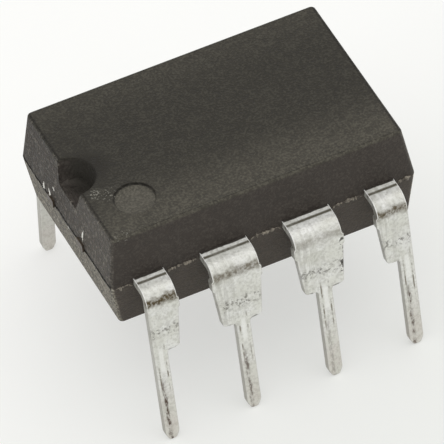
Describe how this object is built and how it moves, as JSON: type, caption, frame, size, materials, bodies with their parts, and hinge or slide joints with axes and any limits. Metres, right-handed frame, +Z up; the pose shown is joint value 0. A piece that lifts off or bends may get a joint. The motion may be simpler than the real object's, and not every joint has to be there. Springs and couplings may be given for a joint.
{
  "type": "dip integrated circuit chip",
  "caption": "Plastic dual in-line chip with two rows of bent tinned leads, an end notch and a round dimple beside the first lead.",
  "frame": {"origin": "on the surface that the lead tips stand on, under the middle of the body", "axes": "+X along the body, away from the notched end; +Y across the body, away from the row of leads 1 to 4; +Z up"},
  "size_m": [0.0094, 0.0088, 0.0069],
  "materials": {
    "moulding_compound": "matte black moulded epoxy with a fine spark-eroded grain",
    "tinned_lead": "dull tin plating, brighter on the bends, with brown streaks down the legs",
    "copper_alloy": "plain copper alloy strip",
    "silver_adhesive": "matte silver-filled adhesive",
    "silicon": "polished dark grey silicon",
    "gold_wire": "bright drawn gold"
  },
  "bodies": {
    "root": {"moulded_body": "moulding_compound", "lead_1": "tinned_lead", "lead_2": "tinned_lead", "lead_3": "tinned_lead", "lead_4": "tinned_lead", "lead_5": "tinned_lead", "lead_6": "tinned_lead", "lead_7": "tinned_lead", "lead_8": "tinned_lead", "die_paddle": "copper_alloy", "die_attach": "silver_adhesive", "die": "silicon", "bond_wire_1": "gold_wire", "bond_wire_2": "gold_wire", "bond_wire_3": "gold_wire", "bond_wire_4": "gold_wire", "bond_wire_5": "gold_wire", "bond_wire_6": "gold_wire", "bond_wire_7": "gold_wire", "bond_wire_8": "gold_wire"}
  },
  "joints": []
}
